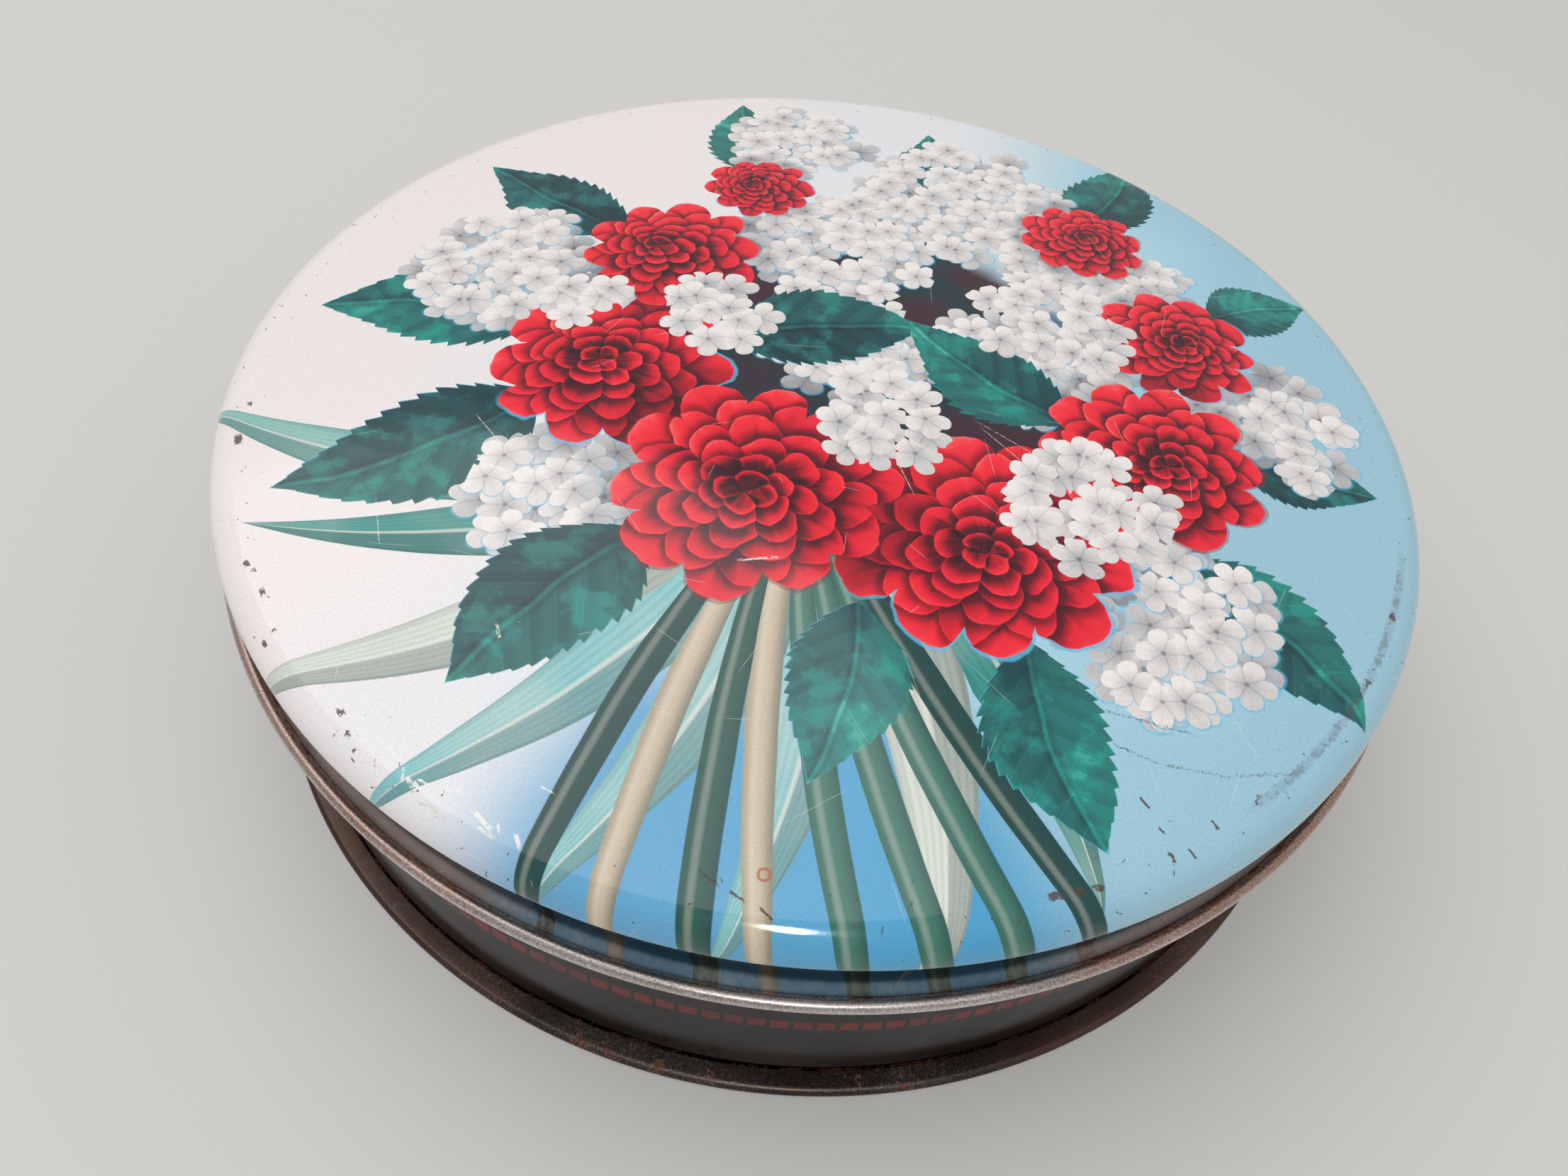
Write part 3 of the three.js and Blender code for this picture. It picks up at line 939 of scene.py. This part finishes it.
# Deep shade in the middle of the bunch
under = step(length(place - (4.0, 2.0, 0.0)) + clouds * 20.0, 44.0, 38.0)
under_colour = blend(step(clouds, 0.4, 0.6), paint(22, 56, 62), paint(66, 34, 48))
colour = blend(under, colour, under_colour)

# Layers of blossom, lowest first, as how far apart they are, shift and brightness
blossom_layers = ((5.4, 0.0, 0.68), (5.0, 31.0, 0.88), (4.8, 67.0, 1.04))
for size, offset, brightness in blossom_layers:
    tone, cover, fringe = sprinkled(place, size, offset, back_heaps)
    colour = blend(fringe * 0.5, colour, fringe_blue)
    colour = blend(cover, colour, tinted(tone * brightness * shade, blossom_whites))

tone, cover, fringe = top_leaf(place, front_leaves)
colour = blend(fringe * 0.8, colour, fringe_blue)
colour = blend(cover, colour, tinted(tone * shade, leaf_greens))
colour = blend(back_fringe * 0.7, colour, fringe_blue)
colour = blend(back_cover, colour, tinted(back_tone * (1.0 - front_near * 0.5), dahlia_reds))
colour = blend(front_fringe * 0.5, colour, paint(120, 20, 40))
colour = blend(front_cover, colour, tinted(front_tone, dahlia_reds))
for size, offset, brightness in blossom_layers[1:]:
    tone, cover, _ = sprinkled(place, size, offset, front_heaps)
    colour = blend(cover, colour, tinted(tone * brightness, blossom_whites))
garland = close(end, colour)

# What the print has been through, where the photograph shows it: straight scratches and chips, as
# middle, direction in degrees, length and half width in millimetres on the flat print.
pale_marks = [
    (-34.2, -62.2, 100, 1.6, 0.16), (-33.3, -62.9, -50, 1.4, 0.24), (-32.5, -63.3, -40, 1.5, 0.28),
    (-31.4, -64.0, -35, 1.6, 0.24), (-32.1, -62.7, -20, 1.6, 0.16), (-31.4, -64.8, 0, 1.4, 0.16),
    (-30.4, -65.2, -50, 1.0, 0.2), (-29.8, -65.8, 0, 1.6, 0.16), (-25.9, -65.6, -38, 3.2, 0.26),
    (-25.2, -66.8, -30, 2.2, 0.2), (-22.1, -67.3, -61, 1.8, 0.24), (-24.2, -66.1, -70, 1.4, 0.14),
    (-20.7, -62.0, -20, 1.8, 0.1), (-29.2, -63.2, 5, 2.0, 0.1), (-35.9, -60.0, -50, 1.8, 0.12),
    (-36.3, -61.3, 10, 1.2, 0.18),
    (44.8, -43.6, -66, 12.0, 0.07), (23.5, -11.5, -45, 14.0, 0.06), (9.0, -14.5, -66, 12.0, 0.06),
    (23.0, -8.8, -32, 12.0, 0.05), (-38.0, -18.0, -46, 8.0, 0.06), (-46.4, -33.0, -68, 7.5, 0.05),
    (-5.0, -32.0, 15, 5.0, 0.16), (-29.8, -45.4, -66, 2.0, 0.2),
]
brown_marks = [
    (-4.8, -68.3, -30, 2.4, 0.12), (-2.1, -69.6, -26, 2.0, 0.12), (0.6, -70.8, -34, 1.6, 0.14),
    (26.0, -65.5, 12, 1.6, 0.34), (28.2, -64.7, 20, 1.2, 0.3), (30.0, -64.1, 8, 1.4, 0.24),
    (34.9, -54.9, -52, 1.6, 0.16), (36.4, -57.6, -40, 1.0, 0.14), (37.1, -60.1, -70, 1.2, 0.18),
    (39.1, -59.4, -50, 1.0, 0.14), (41.6, -56.2, -60, 1.2, 0.18), (46.1, -52.7, 60, 1.4, 0.16),
    (65.0, -27.0, 70, 1.4, 0.3), (60.1, -36.8, 56, 1.2, 0.26), (-42.0, -56.6, 40, 0.8, 0.34),
    (-40.6, -58.8, 30, 0.6, 0.26), (-39.6, -60.3, 10, 0.5, 0.2), (-66.1, -23.1, 110, 1.8, 0.5),
    (-67.2, -17.2, 100, 0.8, 0.3), (-57.9, -40.5, 124, 0.9, 0.34), (-56.8, -41.3, 60, 0.6, 0.24),
    (35.6, -45.8, -8, 11.0, 0.05), (34.6, -49.7, -18, 5.4, 0.05), (40.5, -50.6, -2, 7.4, 0.05),
    (47.4, -49.8, 12, 7.4, 0.05), (-54.8, -43.9, 120, 1.0, 0.3), (-52.5, -49.8, 130, 0.8, 0.3),
    (-51.8, -48.4, 20, 0.6, 0.24),
]


def marked(place, marks):
    """1 where one of the marks lies."""
    least = 9.0  # far outside every mark, whose own edge is at 1
    for x, y, direction, reach, half_width in marks:
        turned = math.radians(direction)
        from_middle = place - (x, y, 0.0)
        lengthwise = dot(from_middle, (math.cos(turned) * 2 / reach, math.sin(turned) * 2 / reach, 0.0))
        across = dot(from_middle, (-math.sin(turned) / half_width, math.cos(turned) / half_width, 0.0))
        here = reckon("MAXIMUM", abs(lengthwise), abs(across))
        least = reckon("MINIMUM", least, here)
    return step(least, 1.0, 0.7)


(place, along), end = effect("print_wear", ("Place", "Along"), ("Pale", "Brown", "Fine"))
rubbed_line = 71.0  # millimetres from the crown, round the right of the shoulder
ragged = noise(place, 0.5, detail=4, roughness=0.7, flat=True)
rough_place = place + joined(ragged - 0.5, 0.5 - ragged) * 0.5
pale = marked(rough_place, pale_marks) * step(ragged, 0.4, 0.5, 0.1, 1.0)
brown = marked(rough_place + joined(0.5 - ragged, ragged - 0.5) * -0.9, brown_marks)
rim_rub = step(abs(along + ragged * 1.2 - rubbed_line), 0.6, 0.2)
rim_rub = rim_rub * round_about(place, -32.0, 14.0)
broken = step(noise(place, 1.1, detail=3, flat=True), 0.44, 0.56)
brown = reckon("MAXIMUM", brown, rim_rub * (broken * 0.3 + 0.2))
shoulder = step(along, 66.0, 69.5) * step(along, 76.5, 75.0)
(ticks,) = place_effect(scratches, place, 2.4, 1.6, 0.12, 0.5)
front_left = round_about(place, -118.0, 16.0) * step(ragged, 0.46, 0.54)
pale = reckon("MAXIMUM", pale, ticks * shoulder * front_left)
brown = reckon("MAXIMUM", brown, ticks * shoulder * step(ragged, 0.5, 0.56))
(hair,) = place_effect(scratches, place, 8.0, 9.0, 0.04, 0.5)
print_wear = close(end, pale, brown, hair)

neck_from, flare_from, print_ends = 76.4, 82.6, 84.9  # millimetres along the sheet
ring_middle = (0.0, -67.3)  # a small rusty ring on the print
ring_radius = 0.55

printed, shader, place, along = coated("printed_tin")
on_sheet = spread_flat(place, along)
(colour,) = place_effect(garland, on_sheet)
dots = noise(on_sheet, 0.3, detail=1, flat=True)
colour = blend(step(dots, 0.3, 0.7, 0.0, 0.07), colour, paint(30, 40, 46))

streaks = noise(place * (1.0, 1.0, 0.14), 0.5, detail=4, roughness=0.6)
clouds = noise(place, 9.0, detail=2)
# Painted shade: the neck under the shoulder is darkened to near black, where the shoulder shades it,
# and less so on the flare
shaded_neck = step(along + streaks * 0.8, neck_from, neck_from + 1.9)
on_flare = step(along + clouds * 0.8, flare_from, flare_from + 1.1)
colour = blend(shaded_neck * 0.92 - on_flare * 0.4, colour, paint(14, 14, 15))
worn_sheet = tinted(streaks * 0.35 + clouds * 0.65, [
    (0.35, 104, 97, 90), (0.5, 130, 122, 114), (0.65, 160, 152, 143),
])
worn_sheet = blend(rusty_sides(place) * 0.35, worn_sheet, paint(152, 102, 80))
worn_off = step(streaks, 0.35, 0.6, 0.65, 0.85) - round_about(place, -88.0, 18.0) * 0.4
colour = blend(on_flare * worn_off, colour, worn_sheet)

pale, brown, hair = place_effect(print_wear, on_sheet, along)
colour = blend(pale * 0.85, colour, paint(226, 222, 214))
colour = blend(brown * 0.9, colour, paint(78, 52, 42))
from_ring = reckon("DISTANCE", on_sheet, (*ring_middle, 0.0), output="Value")
on_ring = step(abs(from_ring - ring_radius), 0.2, 0.08)
colour = blend(on_ring * 0.8, colour, paint(176, 84, 50))
colour = blend(hair * 0.4, colour, paint(235, 232, 226))
at_crevice = step(along, print_ends - 1.1, print_ends, 0.0, 0.24)
rust_amount = at_crevice + rusty_sides(place) * 0.14 + 0.05
rust_amount = rust_amount * step(along, flare_from - 0.8, flare_from + 0.6)
rusted, rust_colour = place_effect(rust, place, rust_amount)
colour = blend(rusted, colour, rust_colour)
bare = on_flare * 0.35 * (1.0 - rusted) + pale * 0.3
dull = step(clouds, 0.3, 0.7, 0.08, 0.13) + on_flare * 0.22 + shaded_neck * 0.06
dull = dull + (rusted + brown) * 0.4 + pale * 0.25 + hair * 0.1
dress(shader, Base_Color=colour, Metallic=bare, Roughness=dull, Normal=bump(streaks, 0.003))

lid_tones = [(0.3, 172, 167, 156), (0.55, 202, 199, 190), (0.75, 220, 218, 211)]
curl_tones = [(0.3, 122, 108, 102), (0.5, 176, 166, 161), (0.8, 234, 230, 227)]
edge_rust = (86.5, 87.1, 0.3)  # along the raw edge, where it lies against the foot
# Where the curl is rubbed, its brightest line, which is partly a painted highlight, and its stain
curl_rubbed_from, curl_brightest_at, curl_stain = 83.2, 85.6, 0.85
curl_rubbed_and_highlit = (curl_rubbed_from, curl_brightest_at, curl_tones, curl_stain)
inside_lid = bare_tin("inside_lid", lid_tones, 0.18, edge_rust, curl_rubbed_and_highlit)


def lay_flat(mesh, discs):
    """Gives the piece a flat map for baking its finishes: its outside as one disc, its inside as
    another."""
    layout = mesh.loops.layers.uv.new("OFBake")
    along = mesh.verts.layers.float["along"]
    raw_edge = max(point[along] for point in mesh.verts)
    for face in mesh.faces:
        middle, radius = discs[face.material_index]
        is_edge = min(point[along] for point in face.verts) > raw_edge - sheet / 2
        for corner in face.loops:
            point = corner.vert
            out = point[along]
            if is_edge and any(other.material_index == 0 for other in point.link_faces):
                out += sheet
            from_middle = radius * out / (raw_edge + sheet)
            corner[layout].uv = Vector(middle) + point.co.xy.normalized() * from_middle


# Middle and radius of each disc on the map
outside_disc = ((0.4, 0.4), 0.395)
inside_disc = ((0.812, 0.812), 0.182)
lay_flat(lid_mesh, (outside_disc, inside_disc))
piece("drawn_lid", lid_mesh, "lid", "lid", "printed_tin", printed, inside_lid)
